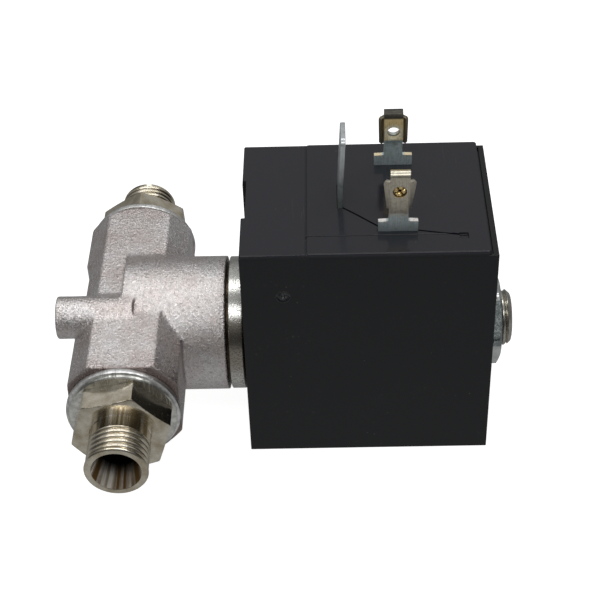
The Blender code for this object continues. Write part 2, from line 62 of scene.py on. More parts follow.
BLOCK = span("coil_housing")
COLLAR = span("tube_collar")
BODY = span("valve_body")
NUT = span("coil_nut")
CORE = span("fixed_core")
TAB = span("ground_tab")
BLADES = {side: span("terminal_" + side) for side in ("front", "rear")}
NIPPLES = {side: span("nipple_" + side) for side in ("front", "rear")}
WASHERS = {side: span("washer_" + side) for side in ("front", "rear")}
PORT_X = (NIPPLES["front"][0].x + NIPPLES["front"][1].x) / 2
AXIS_Z = (COLLAR[0].z + COLLAR[1].z) / 2
LID_TOP = BLOCK[1].z

THREAD_DEPTH = 0.5
# The power terminals: their sheet, their distance from the middle, and the middle of their holes
# above the lid.
BLADE_THICK, BLADE_Y = 0.8, 9.0
HOLE_RISE = {"front": 7.6, "rear": 7.1}
# Middle of the round gate mark on the block's front face.
GATE_X, GATE_Z = -13.67, 34.79
# Noise sizes are given in millimetres, and object coordinates are in metres.
MM_PER_M = 1000.0


# ---------------------------------------------------------------- mesh helpers

def add_object(name, data):
    obj = bpy.data.objects.new(name, data)
    bpy.context.scene.collection.objects.link(obj)
    return obj


def shade(mesh, sharp):
    """Smooth shading, but for the edges that are sharper than an angle in degrees."""
    mesh.shade_smooth()
    mesh.set_sharp_from_angle(angle=radians(sharp))


def finish_mesh(name, bm, sharp=38):
    """A bmesh in millimetres becomes an object in metres, smooth but for its sharp edges."""
    bmesh.ops.recalc_face_normals(bm, faces=bm.faces)
    bmesh.ops.scale(bm, vec=(MM, MM, MM), verts=bm.verts)
    mesh = bpy.data.meshes.new(name)
    bm.to_mesh(mesh)
    bm.free()
    shade(mesh, sharp)
    return add_object(name, mesh)


def bake(obj, sharp=38):
    """Applies the modifiers, and removes the objects that they used."""
    used = [m.object for m in obj.modifiers if getattr(m, "object", None)]
    graph = bpy.context.evaluated_depsgraph_get()
    mesh = bpy.data.meshes.new_from_object(obj.evaluated_get(graph))
    obj.modifiers.clear()
    obj.data = mesh
    shade(mesh, sharp)
    for other in used:
        bpy.data.objects.remove(other)
    return obj


def even_normals(obj):
    """Large flat faces keep their shading flat beside small rounded edges."""
    weighted = obj.modifiers.new("WeightedNormal", "WEIGHTED_NORMAL")
    weighted.keep_sharp = True
    weighted.weight = 80


def soften(obj, width):
    """Rounds the sharp edges of a sheet part."""
    modifier = obj.modifiers.new("Bevel", "BEVEL")
    modifier.width = width * MM
    modifier.segments = 2
    modifier.limit_method = "ANGLE"
    modifier.angle_limit = radians(40)
    bake(obj, 50)
    even_normals(obj)


def boolean(obj, other, operation="DIFFERENCE"):
    modifier = obj.modifiers.new(other.name, "BOOLEAN")
    modifier.operation = operation
    modifier.object = other


def cube(low, high):
    bm = bmesh.new()
    low, high = Vector(low), Vector(high)
    bmesh.ops.create_cube(bm, size=1.0)
    bmesh.ops.scale(bm, vec=high - low, verts=bm.verts)
    bmesh.ops.translate(bm, vec=(low + high) / 2, verts=bm.verts)
    return bm


def round_edges(bm, edges, offset, segments):
    bmesh.ops.bevel(bm, geom=edges, offset=offset, segments=segments, profile=0.5,
                    affect="EDGES")


def block(name, low, high, edge=0.0):
    bm = cube(low, high)
    if edge:
        round_edges(bm, bm.edges[:], edge, 3)
    return finish_mesh(name, bm)


def plate(name, low, high, corner, edge):
    """A flat plate with rounded upright corners and a rounded top edge."""
    bm = cube(low, high)
    upright = [e for e in bm.edges if abs(e.verts[0].co.z - e.verts[1].co.z) > 1e-4]
    round_edges(bm, upright, corner, 5)
    top = [e for e in bm.edges if min(v.co.z for v in e.verts) > high[2] - 1e-4]
    round_edges(bm, top, edge, 4)
    return finish_mesh(name, bm)


def slab(outline, push):
    """A flat outline, pushed out into a slab."""
    bm = bmesh.new()
    face = bm.faces.new([bm.verts.new(point) for point in outline])
    grown = bmesh.ops.extrude_face_region(bm, geom=[face])
    moved = [v for v in grown["geom"] if isinstance(v, bmesh.types.BMVert)]
    bmesh.ops.translate(bm, vec=push, verts=moved)
    return bm


def around(sides):
    """The angles of a ring's vertices."""
    return [2 * pi * i / sides for i in range(sides)]


def join_rings(bm, rings, caps=False):
    """Faces between neighbouring rings, of which one may be a single vertex, and end caps."""
    for first, second in zip(rings, rings[1:]):
        sides = max(len(first), len(second))
        for i in range(sides):
            j = (i + 1) % sides
            corners = [first[i % len(first)], first[j % len(first)],
                       second[j % len(second)], second[i % len(second)]]
            bm.faces.new(list(dict.fromkeys(corners)))
    if caps:
        bm.faces.new(rings[0])
        bm.faces.new(rings[-1])


def eased(profile, radius, closed):
    """The profile with each plain corner rounded by up to the radius."""
    points = []
    count = len(profile)
    for i, (along, out) in enumerate(profile):
        at_end = not closed and i in (0, count - 1)
        before, after = profile[i - 1], profile[(i + 1) % count]
        if at_end or callable(out) or callable(before[1]) or callable(after[1]):
            points.append((along, out))
            continue
        corner = Vector((along, out))
        back = Vector(before) - corner
        ahead = Vector(after) - corner
        reach = min(radius, back.length * 0.4, ahead.length * 0.4)
        if abs(back.angle(ahead) - pi) < radians(12) or out == 0:
            points.append((along, out))
            continue
        start = corner + back.normalized() * reach
        end = corner + ahead.normalized() * reach
        for share in (0.0, 0.5, 1.0):
            point = start.lerp(corner, share).lerp(corner.lerp(end, share), share)
            points.append(tuple(point))
    return points


def turned(name, profile, sides, heading="X", centre=(0, 0, AXIS_Z), turn=0.0, closed=False,
           ease=0.0, sharp=38):
    """Turns a profile of (distance along X, radius) about X, and points it along its heading.

    A radius may depend on the angle, a closed profile is a ring, and ease rounds its corners.
    """
    bm = bmesh.new()
    if ease:
        profile = eased(profile, ease, closed)
    rings = []
    for along, radius in profile:
        if not callable(radius) and radius == 0:
            rings.append([bm.verts.new((along, 0.0, 0.0))])
            continue
        ring = []
        for angle in around(sides):
            r = radius(angle) if callable(radius) else radius
            ring.append(bm.verts.new((along, r * cos(angle), r * sin(angle))))
        rings.append(ring)
    if closed:
        rings.append(rings[0])
    join_rings(bm, rings)
    headings = {"X": 0.0, "-Y": -pi / 2, "Y": pi / 2}
    spin = Euler((turn, 0.0, headings[heading])).to_matrix().to_4x4()
    bmesh.ops.transform(bm, matrix=Matrix.Translation(centre) @ spin, verts=bm.verts)
    return finish_mesh(name, bm, sharp)


def rod(name, low, high, radius, sides=64, centre=(0, 0, AXIS_Z)):
    profile = [(low, 0), (low, radius), (high, radius), (high, 0)]
    return turned(name, profile, sides, centre=centre)


def hexagon(across_flats, largest):
    """Radius of a hexagon, with the corners turned down to the largest radius."""
    def radius(angle):
        from_flat = (angle % (pi / 3)) - pi / 6
        return min(across_flats / 2 / cos(from_flat), largest)
    return radius


def hexagon_rows(low, high, across_flats, face_radius, slope, low_face_radius=None):
    """Profile rows of a hexagon whose end is chamfered by a cone."""
    rows = []
    corner = across_flats / 2 / cos(pi / 6)
    steps = 10
    depth = (corner - face_radius) * slope
    if low_face_radius:
        low_depth = (corner - low_face_radius) * slope
        for i in range(steps):
            share = i / steps
            limit = low_face_radius + (corner - low_face_radius) * share
            rows.append((low + low_depth * share, hexagon(across_flats, limit)))
        low += low_depth
    rows.append((low, hexagon(across_flats, corner * 0.992)))
    for i in range(steps + 1):
        share = i / steps
        limit = min(corner * 0.992, corner - (corner - face_radius) * share)
        rows.append((high - depth * (1 - share), hexagon(across_flats, limit)))
    return rows


def thread_rows(start, end, crest, pitch, lead_in=0.0):
    """Profile rows of a right-hand thread: grooves between rounded crests, fading in."""
    rows = []
    step = pitch / 14
    count = round((end - start) / step)
    for i in range(count + 1):
        along = start + (end - start) * i / count

        def radius(angle, along=along):
            phase = ((along - start) / pitch - angle / (2 * pi)) % 1.0
            height = 1.0 - abs(2.0 * phase - 1.0)
            groove_depth = THREAD_DEPTH * (1.0 - height) ** 2.2
            fade = min(1.0, (along - start) / (0.4 * pitch))
            limit = crest - max(0.0, lead_in - (end - along)) * 0.9
            return min(crest - groove_depth * fade, limit)

        rows.append((along, radius))
    return rows


def smooth_min(a, b, k):
    h = np.maximum(k - np.abs(a - b), 0.0) / k
    return np.minimum(a, b) - h * h * k * 0.25


def smooth_max(a, b, k):
    return -smooth_min(-a, -b, k)


def surface_nets(distance, low, high, step):
    """Vertices and quads of a distance field's zero level, pulled onto it along the gradient."""
    axes = [np.arange(a, b + step, step) for a, b in zip(low, high)]
    grid = np.meshgrid(*axes, indexing="ij")
    inside = distance(*grid) < 0
    corners = sum(inside[i:inside.shape[0] - 1 + i, j:inside.shape[1] - 1 + j,
                         k:inside.shape[2] - 1 + k].astype(np.int8)
                  for i in (0, 1) for j in (0, 1) for k in (0, 1))
    active = (corners > 0) & (corners < 8)
    index = np.full(active.shape, -1)
    index[active] = np.arange(active.sum())
    cells = np.argwhere(active)
    start = np.array([axes[i][cells[:, i]] + step / 2 for i in range(3)])
    points = start.copy()
    tiny = step * 0.02
    for _ in range(6):
        value = distance(*points)
        slope = []
        for i in range(3):
            shifted = points.copy()
            shifted[i] += tiny
            slope.append((distance(*shifted) - value) / tiny)
        slope = np.array(slope)
        points -= slope * value / np.maximum((slope ** 2).sum(0), 0.2)
        points = np.clip(points, start - step * 0.75, start + step * 0.75)
    faces = []
    for axis in range(3):
        one, two = (axis + 1) % 3, (axis + 2) % 3
        first = [slice(None)] * 3
        second = [slice(None)] * 3
        first[axis], second[axis] = slice(None, -1), slice(1, None)
        now, ahead = inside[tuple(first)], inside[tuple(second)]
        crossing = now != ahead
        edges = np.argwhere(crossing)
        limit = np.array(active.shape)
        keep = ((edges[:, one] > 0) & (edges[:, two] > 0) & (edges[:, one] < limit[one])
                & (edges[:, two] < limit[two]))
        edges = edges[keep]
        quad = []
        for back_one, back_two in ((1, 1), (0, 1), (0, 0), (1, 0)):
            cell = edges.copy()
            cell[:, one] -= back_one
            cell[:, two] -= back_two
            quad.append(index[cell[:, 0], cell[:, 1], cell[:, 2]])
        quad = np.array(quad).T
        outward = now[edges[:, 0], edges[:, 1], edges[:, 2]]
        quad[~outward] = quad[~outward][:, ::-1]
        faces.append(quad)
    return points.T, np.concatenate(faces)


# ---------------------------------------------------------------- materials

def add_node(tree, kind, inputs=None, **settings):
    """A shader node; its inputs are links from other nodes or plain values."""
    made = tree.nodes.new("ShaderNode" + kind)
    for key, value in settings.items():
        setattr(made, key, value)
    for key, value in (inputs or {}).items():
        if isinstance(value, bpy.types.NodeSocket):
            tree.links.new(value, made.inputs[key])
        else:
            made.inputs[key].default_value = value
    return made


class Paint:
    """A Principled material, with short names for the nodes that drive it."""

    def __init__(self, name, metallic=0.0, coat=0.0, specular=0.5):
        self.mat = bpy.data.materials.new(name)
        self.mat.use_nodes = True
        self.tree = self.mat.node_tree
        self.shader = self.tree.nodes["Principled BSDF"]
        self.shader.inputs["Metallic"].default_value = metallic
        self.shader.inputs["Coat Weight"].default_value = coat
        self.shader.inputs["Specular IOR Level"].default_value = specular
        self.place = self.node("TexCoord").outputs["Object"]
        self.relief = None

    def node(self, kind, inputs=None, **settings):
        return add_node(self.tree, kind, inputs, **settings)

    def stretched(self, scale, turn=(0, 0, 0)):
        mapping = self.node("Mapping", {"Vector": self.place, "Scale": scale, "Rotation": turn})
        return mapping.outputs["Vector"]

    def noise(self, size, detail=3.0, roughness=0.5, place=None):
        """Fractal noise whose blobs are about size millimetres wide."""
        made = self.node("TexNoise", {"Vector": place or self.place, "Scale": MM_PER_M / size,
                                      "Detail": detail, "Roughness": roughness})
        return made.outputs["Fac"]

    def cells(self, size):
        """Distance from the nearest of scattered points that are about size millimetres apart."""
        made = self.node("TexVoronoi", {"Vector": self.place, "Scale": MM_PER_M / size})
        return made.outputs["Distance"]

    def fit(self, value, low, high, to_low=0.0, to_high=1.0, smooth=False):
        made = self.node("MapRange", {"Value": value, "From Min": low, "From Max": high,
                                      "To Min": to_low, "To Max": to_high})
        made.interpolation_type = "SMOOTHSTEP" if smooth else "LINEAR"
        return made.outputs["Result"]

    def spread(self, noise, low, high):
        """Goes from low to high over the range that a noise usually has."""
        return self.fit(noise, 0.3, 0.7, low, high)

    def math(self, operation, a, b=0.0):
        return self.node("Math", {0: a, 1: b}, operation=operation).outputs[0]

    def plus(self, a, b):
        return self.math("ADD", a, b)

    def minus(self, a, b):
        return self.math("SUBTRACT", a, b)

    def times(self, a, b):
        return self.math("MULTIPLY", a, b)

    def mix(self, share, a, b):
        a, b = [(*value, 1.0) if isinstance(value, tuple) else value for value in (a, b)]
        return self.node("Mix", {0: share, 6: a, 7: b}, data_type="RGBA").outputs[2]

    def height_at(self, axis):
        """The object-space coordinate along X, Y or Z, in millimetres."""
        split = self.node("SeparateXYZ", {"Vector": self.place})
        return self.times(split.outputs[axis], MM_PER_M)

    def bump(self, height, depth, strength=1.0):
        """Adds relief that is depth millimetres deep."""
        inputs = {"Height": height, "Distance": depth * MM, "Strength": strength}
        if self.relief:
            inputs["Normal"] = self.relief
        self.relief = self.node("Bump", inputs).outputs["Normal"]
        self.tree.links.new(self.relief, self.shader.inputs["Normal"])

    def color(self, value):
        self.tree.links.new(value, self.shader.inputs["Base Color"])

    def roughness(self, value):
        self.tree.links.new(value, self.shader.inputs["Roughness"])

    def metallic(self, value):
        self.tree.links.new(value, self.shader.inputs["Metallic"])


def black_plastic():
    """Glass-filled moulding: glossier lid that is also painted paler and bluer as a painted
    sheen, fine grain, faint rubs, and pale specks of dust.
    """
    p = Paint("black_moulding", specular=0.42)
    broad = p.noise(14.0, 4)
    grain = p.noise(0.35, 3, 0.6)
    lid = p.fit(p.height_at("Z"), LID_TOP - 0.6, LID_TOP - 0.2)
    rub = p.noise(0.5, 2, place=p.stretched((1.0, 0.06, 1.0), (0, 0, 0.5)))
    rubs = p.fit(rub, 0.64, 0.73)
    patch = p.fit(p.noise(7.0, 3), 0.50, 0.68)
    worn = p.times(rubs, patch)
    specks = p.fit(p.cells(1.5), 0.060, 0.035)
    rare = p.times(specks, p.fit(p.noise(5.0, 2), 0.52, 0.58))
    base = p.mix(broad, (0.0016, 0.0022, 0.0032), (0.0026, 0.0032, 0.0042))
    # Painted sheen: the lid's top is painted paler and bluer than the sides, standing in for the
    # light it reflects from above.
    base = p.mix(lid, base, (0.0152, 0.0157, 0.0212))
    base = p.mix(p.times(worn, 0.30), base, (0.05, 0.05, 0.055))
    base = p.mix(p.times(rare, 0.45), base, (0.24, 0.23, 0.22))
    from_gate = p.node("VectorMath", {0: p.place, 1: Vector((GATE_X, BLOCK[0].y, GATE_Z)) * MM},
                       operation="DISTANCE").outputs["Value"]
    scuff = p.times(p.fit(from_gate, 0.0013, 0.0009), p.fit(grain, 0.40, 0.60))
    base = p.mix(p.times(scuff, 0.7), base, (0.05, 0.052, 0.055))
    p.color(base)
    rough = p.plus(p.spread(broad, 0.30, 0.36), p.times(lid, -0.20))
    rough = p.plus(rough, p.spread(grain, -0.02, 0.03))
    p.roughness(p.plus(rough, p.times(worn, 0.14)))
    p.bump(p.noise(9.0, 2), 0.06, 0.25)
    p.bump(grain, 0.005, 0.5)
    return p.mat


def cast_nickel():
    """Blasted forging under nickel plate: coarse bright grain, pits and pinkish patches, with
    painted shade near the port ends.
    """
    p = Paint("blasted_nickel", metallic=1.0)
    grain = p.noise(0.42, 4, 0.62)
    fine = p.noise(0.16, 2, 0.6)
    pits = p.fit(p.cells(0.9), 0.18, 0.05)
    rare = p.times(pits, p.fit(p.noise(3.5, 2), 0.50, 0.60))
    patch = p.noise(6.0, 4, 0.55)
    mottle = p.fit(p.noise(0.6, 4, 0.75), 0.50, 0.34)
    ends = p.math("ABSOLUTE", p.height_at("Y"))
    base = p.mix(p.fit(patch, 0.35, 0.65), (0.74, 0.665, 0.64), (0.87, 0.845, 0.84))
    base = p.mix(p.fit(grain, 0.42, 0.26), base, (0.46, 0.41, 0.39))
    base = p.mix(p.times(mottle, 0.6), base, (0.36, 0.32, 0.31))
    base = p.mix(p.times(rare, 0.75), base, (0.14, 0.12, 0.11))
    # Painted shade: the body darkens to brown over its last 1.9 mm towards each port end, where
    # it meets the washer.
    rim = BODY[1].y
    base = p.mix(p.fit(ends, rim - 1.9, rim - 0.5, 0.0, 0.22), base, (0.30, 0.23, 0.20))
    base = p.mix(p.fit(ends, rim - 0.5, rim - 0.1, 0.0, 0.75), base, (0.20, 0.14, 0.12))
    p.color(base)
    p.roughness(p.spread(grain, 0.36, 0.22))
    p.bump(patch, 0.10, 0.3)
    p.bump(grain, 0.17, 1.0)
    p.bump(fine, 0.05, 1.0)
    return p.mat


def turned_metal(name, tint, dark, rough, axis, tarnish=0.25, front_shade=None):
    """Turned plated metal: fine rings along one axis and cloudy plate.

    A front shade is a pair of heights; between them the front is painted dark with oxide-like
    spots, a painted shade of the front-facing facet.
    """
    p = Paint(name, metallic=1.0)
    scale = [0.02, 0.02, 0.02]
    scale[axis] = 1.0
    rings = p.noise(0.35, 2, 0.6, place=p.stretched(tuple(scale)))
    cloud = p.noise(2.6, 4, 0.6)
    marks = p.fit(p.noise(0.35, 3, 0.7), 0.56, 0.74)
    base = p.mix(p.fit(cloud, 0.38, 0.66), tint, dark)
    base = p.mix(p.times(marks, tarnish), base, tuple(c * 0.35 for c in dark))
    if front_shade:
        # Painted shade on the front between the two heights, mottled with spots.
        height = p.height_at("Z")
        band = p.times(p.fit(height, front_shade[0] - 0.1, front_shade[0] + 0.1),
                       p.fit(height, front_shade[1] + 0.1, front_shade[1] - 0.1))
        band = p.times(band, p.fit(p.height_at("Y"), 0.5, -0.5))
        spots = p.fit(p.noise(0.5, 3, 0.7), 0.5, 0.7)
        spotted_shade = p.mix(spots, (0.08, 0.12, 0.12), (0.60, 0.68, 0.66))
        base = p.mix(p.times(band, 0.72), base, spotted_shade)
    p.color(base)
    base_rough = p.spread(cloud, rough, rough * 1.5)
    p.roughness(p.plus(base_rough, p.times(marks, 0.14)))
    p.bump(rings, 0.006, 0.6)
    p.bump(p.noise(0.9, 3), 0.012, 0.3)
    return p.mat


def drawn_metal(name, dark, pale, rough, width, metallic=1.0, bore=None):
    """Polished metal with streaks along the ports, their dark and pale colour partly a painted
    reflection of the lights; past the depths in bore it is painted dark as painted shade.
    """
    p = Paint(name, metallic=metallic)
    split = p.node("SeparateXYZ", {"Vector": p.place})
    across = p.minus(split.outputs["X"], PORT_X * MM)
    below = p.minus(AXIS_Z * MM, split.outputs["Z"])
    arc = p.times(p.math("ARCTAN2", across, below), 0.004)
    depth = p.math("ABSOLUTE", split.outputs["Y"])
    place = p.node("CombineXYZ", {"X": arc, "Y": p.times(depth, 0.03)}).outputs[0]
    streaks = p.noise(width, 3, 0.6, place=place)
    # Painted reflection: the streaks run from dark brown to near white, standing in for reflected
    # light as well as polish lines.
    base = p.mix(p.fit(streaks, 0.45, 0.62), dark, pale)
    if bore:
        # Painted shade deep inside the bore.
        lit = p.fit(p.times(depth, MM_PER_M), *bore)
        base = p.mix(lit, (0.004, 0.004, 0.004), base)
    p.color(base)
    p.roughness(p.spread(streaks, rough * 1.5, rough))
    p.bump(streaks, 0.05, 0.6)
    return p.mat


def collar_with_painted_shade():
    """Bright turned ring, painted brown where its front faces down and away from the light as
    painted shade, with a painted shadow in its groove.
    """
    p = Paint("bright_collar", metallic=1.0)
    height = p.height_at("Z")
    cloud = p.noise(2.6, 4, 0.6)
    marks = p.fit(p.noise(0.30, 3, 0.75), 0.46, 0.60)
    # Painted shade: brown over the part of the front that faces down and away from the light.
    lower_front_shade = p.times(p.fit(height, AXIS_Z + 8.6, AXIS_Z + 7.0, smooth=True),
                    p.fit(height, AXIS_Z - 3.5, AXIS_Z + 1.0, smooth=True))
    base = p.mix(cloud, (0.82, 0.82, 0.80), (0.64, 0.64, 0.60))
    base = p.mix(p.times(lower_front_shade, 0.85), base, (0.34, 0.30, 0.25))
    # Painted shadow: a thin dark band in the groove beside the body.
    groove_shadow = p.fit(p.height_at("X"), COLLAR[0].x + 3.32, COLLAR[0].x + 3.26)
    base = p.mix(groove_shadow, base, (0.06, 0.04, 0.025))
    p.color(p.mix(p.times(marks, 0.55), base, (0.20, 0.18, 0.15)))
    p.roughness(p.plus(p.spread(cloud, 0.12, 0.18), p.times(marks, 0.2)))
    p.bump(p.noise(0.30, 3, 0.75), 0.035, 0.8)
    return p.mat


def scratched(name, tint, rough, scratch=0.5):
    """Soft plated sheet with crossed scratches and dull patches."""
    p = Paint(name, metallic=1.0)
    one = p.noise(0.22, 2, 0.6, place=p.stretched((1.0, 0.05, 0.05), (0.3, 0.2, 0.6)))
    two = p.noise(0.22, 2, 0.6, place=p.stretched((0.05, 1.0, 0.05), (0.5, 0.1, 1.9)))
    lines = p.math("MAXIMUM", p.fit(one, 0.58, 0.66), p.fit(two, 0.60, 0.68))
    dull = p.noise(1.2, 4, 0.6)
    base = p.mix(p.fit(dull, 0.38, 0.62), tint, tuple(c * 0.66 for c in tint))
    p.color(p.mix(p.times(lines, 0.4), base, tuple(c * 0.45 for c in tint)))
    p.roughness(p.plus(p.spread(dull, rough, rough * 1.4), p.times(lines, 0.15)))
    p.bump(lines, 0.03, scratch)
    p.bump(p.noise(0.4, 3), 0.03, 0.5)
    return p.mat


def stamped_brass():
    """Terminal strip: brass grey above, tinned near the coil, bare gold on the inner flap, with
    painted highlights and painted shade.
    """
    p = Paint("stamped_brass", metallic=1.0)
    height = p.height_at("Z")
    depth = p.math("ABSOLUTE", p.height_at("Y"))
    wander = p.times(p.minus(p.noise(1.0, 3), 0.5), 1.6)
    level = p.plus(height, wander)
    rear = p.fit(p.height_at("Y"), 0.0, 1.0)
    inner = p.fit(depth, 8.5, 8.2)
    middle = (BLADES["rear"][0].x + BLADES["rear"][1].x) / 2
    side = p.math("ABSOLUTE", p.minus(p.height_at("X"), middle))
    wings = p.times(rear, p.fit(side, 1.50, 1.62))
    wings = p.times(wings, p.fit(height, LID_TOP + 4.2, LID_TOP + 4.4))
    strip = p.minus(rear, p.math("MAXIMUM", inner, wings))
    tin_level = p.minus(level, p.times(strip, 2.7))
    low = p.fit(tin_level, LID_TOP + 3.8, LID_TOP + 2.6, smooth=True)
    flap = p.times(inner, p.fit(height, LID_TOP + 5.4, LID_TOP + 5.6))
    crest = p.times(rear, p.fit(height, LID_TOP + 9.7, LID_TOP + 10.0, smooth=True))
    shoulder = p.times(p.fit(side, 1.75, 1.95), p.fit(height, LID_TOP + 1.70, LID_TOP + 1.92))
    shoulder = p.times(shoulder, p.fit(height, LID_TOP + 3.0, LID_TOP + 2.6))
    drop = p.minus(height, LID_TOP + HOLE_RISE["rear"])
    ring = p.math("SQRT", p.plus(p.times(side, side), p.times(drop, drop)))
    ring = p.times(p.times(rear, flap), p.fit(ring, 1.75, 1.5))
    drawn = p.noise(0.10, 2, 0.6, place=p.stretched((1.0, 1.0, 0.03)))
    cloud = p.noise(1.4, 4, 0.6)
    spots = p.fit(p.noise(0.5, 4, 0.7), 0.48, 0.70)
    brass = p.mix(cloud, (0.66, 0.61, 0.50), (0.84, 0.79, 0.66))
    gold = p.mix(cloud, (0.92, 0.68, 0.30), (1.0, 0.84, 0.46))
    # Painted highlight: the stamped rim round the rear flap's hole is painted paler gold.
    gold = p.mix(ring, gold, (1.0, 0.92, 0.66))
    tin = p.mix(cloud, (0.40, 0.49, 0.51), (0.60, 0.68, 0.69))
    tin = p.mix(p.times(rear, 0.7), tin, (0.72, 0.86, 0.88))
    base = p.mix(flap, brass, gold)
    # Painted shade: the rear terminal's crest is painted nearly black.
    base = p.mix(p.times(crest, 0.96), base, (0.025, 0.03, 0.035))
    # Painted shade: the rear terminal's wings, behind its plate, are painted dark brown.
    base = p.mix(p.times(wings, 0.85), base, (0.10, 0.08, 0.04))
    base = p.mix(low, base, tin)
    # Painted highlight on the shoulders' top edges, near white in front and pale gold behind,
    # with some real wear.
    base = p.mix(shoulder, base, p.mix(rear, (1.0, 0.97, 0.94), (1.0, 0.86, 0.58)))
    base = p.mix(p.times(spots, 0.4), base, (0.20, 0.19, 0.15))
    p.color(p.mix(p.fit(drawn, 0.45, 0.7, 0.0, 0.35), base, (0.14, 0.13, 0.10)))
    dull = p.math("MAXIMUM", low, p.times(rear, 0.6))
    dull = p.math("MAXIMUM", dull, p.times(rear, flap))
    p.roughness(p.plus(p.spread(cloud, 0.28, 0.40), p.times(dull, 0.15)))
    p.metallic(p.fit(dull, 0.0, 1.0, 1.0, 0.55))
    p.bump(drawn, 0.012, 0.5)
    p.bump(p.noise(0.6, 3), 0.02, 0.35)
    return p.mat


def tinned_sheet():
    """Earth blade: bright tin above, greenish and mottled near the coil."""
    p = Paint("tinned_sheet", metallic=0.8)
    drawn = p.noise(0.12, 2, 0.6, place=p.stretched((1.0, 1.0, 0.04)))
    cloud = p.noise(1.2, 4, 0.6)
    low = p.fit(p.plus(p.height_at("Z"), p.times(cloud, 5.0)),
                LID_TOP + 9.0, LID_TOP + 5.5, smooth=True)
    base = p.mix(cloud, (0.54, 0.57, 0.59), (0.76, 0.79, 0.80))
    aged = p.mix(cloud, (0.28, 0.36, 0.32), (0.58, 0.63, 0.62))
    base = p.mix(low, base, aged)
    p.color(p.mix(p.fit(drawn, 0.5, 0.7, 0.0, 0.3), base, (0.24, 0.26, 0.27)))
    p.roughness(p.spread(cloud, 0.26, 0.40))
    p.bump(drawn, 0.012, 0.5)
    return p.mat


def gold_burr():
    """Bare brass at the petals' rims, painted dark at their roots as painted shade in the hole.
    """
    p = Paint("gold_burr", metallic=0.85)
    cloud = p.noise(0.4, 3, 0.6)
    gold = p.mix(cloud, (0.80, 0.55, 0.20), (1.0, 0.86, 0.50))
    # Painted shade: the petals darken towards their roots inside the hole.
    p.color(p.mix(p.fit(p.height_at("Y"), -9.04, -8.88), gold, (0.10, 0.05, 0.01)))
    p.roughness(p.spread(cloud, 0.16, 0.30))
    p.bump(cloud, 0.02, 0.5)
    return p.mat


def enamelled_copper():
    """Copper under clear enamel."""
    p = Paint("enamelled_copper", metallic=1.0, coat=0.5)
    p.shader.inputs["Coat Roughness"].default_value = 0.15
    cloud = p.noise(3.0, 3, 0.6)
    p.color(p.mix(cloud, (0.42, 0.15, 0.06), (0.62, 0.25, 0.11)))
    p.roughness(p.spread(cloud, 0.25, 0.38))
    return p.mat


def dull_metal(name, dark, pale, rough):
    p = Paint(name, metallic=1.0)
    cloud = p.noise(2.4, 4, 0.6)
    grain = p.noise(0.3, 3, 0.6)
    p.color(p.mix(cloud, dark, pale))
    p.roughness(p.spread(cloud, rough, rough * 1.4))
    p.bump(grain, 0.02, 0.5)
    return p.mat


def moulded(name, dark, pale, rough):
    p = Paint(name, specular=0.4)
    cloud = p.noise(3.5, 3)
    grain = p.noise(0.4, 3, 0.6)
    p.color(p.mix(cloud, dark, pale))
    p.roughness(p.spread(grain, rough, rough * 1.2))
    p.bump(grain, 0.02, 0.4)
    return p.mat


def make_paints():
    nipple = ((0.83, 0.77, 0.645), (0.54, 0.475, 0.35))
    return {
        "plastic": black_plastic(),
        "cast": cast_nickel(),
        "nipple": turned_metal("plated_nipple", *nipple, 0.15, 1),
        "bore": drawn_metal("polished_bore", (0.17, 0.10, 0.035), (0.97, 0.93, 0.85), 0.22, 1.7,
                            0.5, (NIPPLES["rear"][1].y - 4.7, NIPPLES["rear"][1].y - 2.0)),
        "neck": drawn_metal("polished_neck", (0.30, 0.24, 0.15), (0.97, 0.94, 0.86), 0.12, 1.1),
        "collar": collar_with_painted_shade(),
        # The nut's front facet gets a band of painted shade.
        "nut": turned_metal("zinc_nut", (0.82, 0.84, 0.84), (0.58, 0.61, 0.61), 0.20, 0,
                            tarnish=0.5, front_shade=(AXIS_Z - 0.2, AXIS_Z + 6.7)),
        "stub": turned_metal("turned_stainless", (0.66, 0.64, 0.58), (0.42, 0.40, 0.34), 0.20, 0),
        "washer": scratched("soft_aluminium", (0.97, 0.97, 0.96), 0.30, 0.8),
        "flange": scratched("plated_flange", (0.93, 0.93, 0.88), 0.14, 0.3),
        "blade": stamped_brass(),
        "tab": tinned_sheet(),
        "burr": gold_burr(),
        "copper": enamelled_copper(),
        "steel": dull_metal("rolled_steel", (0.30, 0.30, 0.32), (0.44, 0.44, 0.46), 0.36),
        "brass": dull_metal("turned_brass", (0.55, 0.39, 0.15), (0.72, 0.55, 0.27), 0.24),
        "spring": dull_metal("spring_wire", (0.48, 0.47, 0.45), (0.64, 0.63, 0.60), 0.22),
        "rubber": moulded("black_rubber", (0.014, 0.014, 0.014), (0.028, 0.028, 0.028), 0.6),
        "seal": moulded("green_rubber", (0.030, 0.080, 0.050), (0.050, 0.120, 0.080), 0.55),
        "bobbin": moulded("bobbin_nylon", (0.46, 0.41, 0.31), (0.58, 0.53, 0.42), 0.42),
    }


# ---------------------------------------------------------------- pieces

def stand_for(obj, paint, body, slot, *nodes):
    """Paints a piece, hides the CAD nodes it stands for, and lets it ride on their body."""
    obj.data.materials.clear()
    for each in (paint if isinstance(paint, (list, tuple)) else [paint]):
        obj.data.materials.append(each)
    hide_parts(*nodes)
    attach(obj, body)


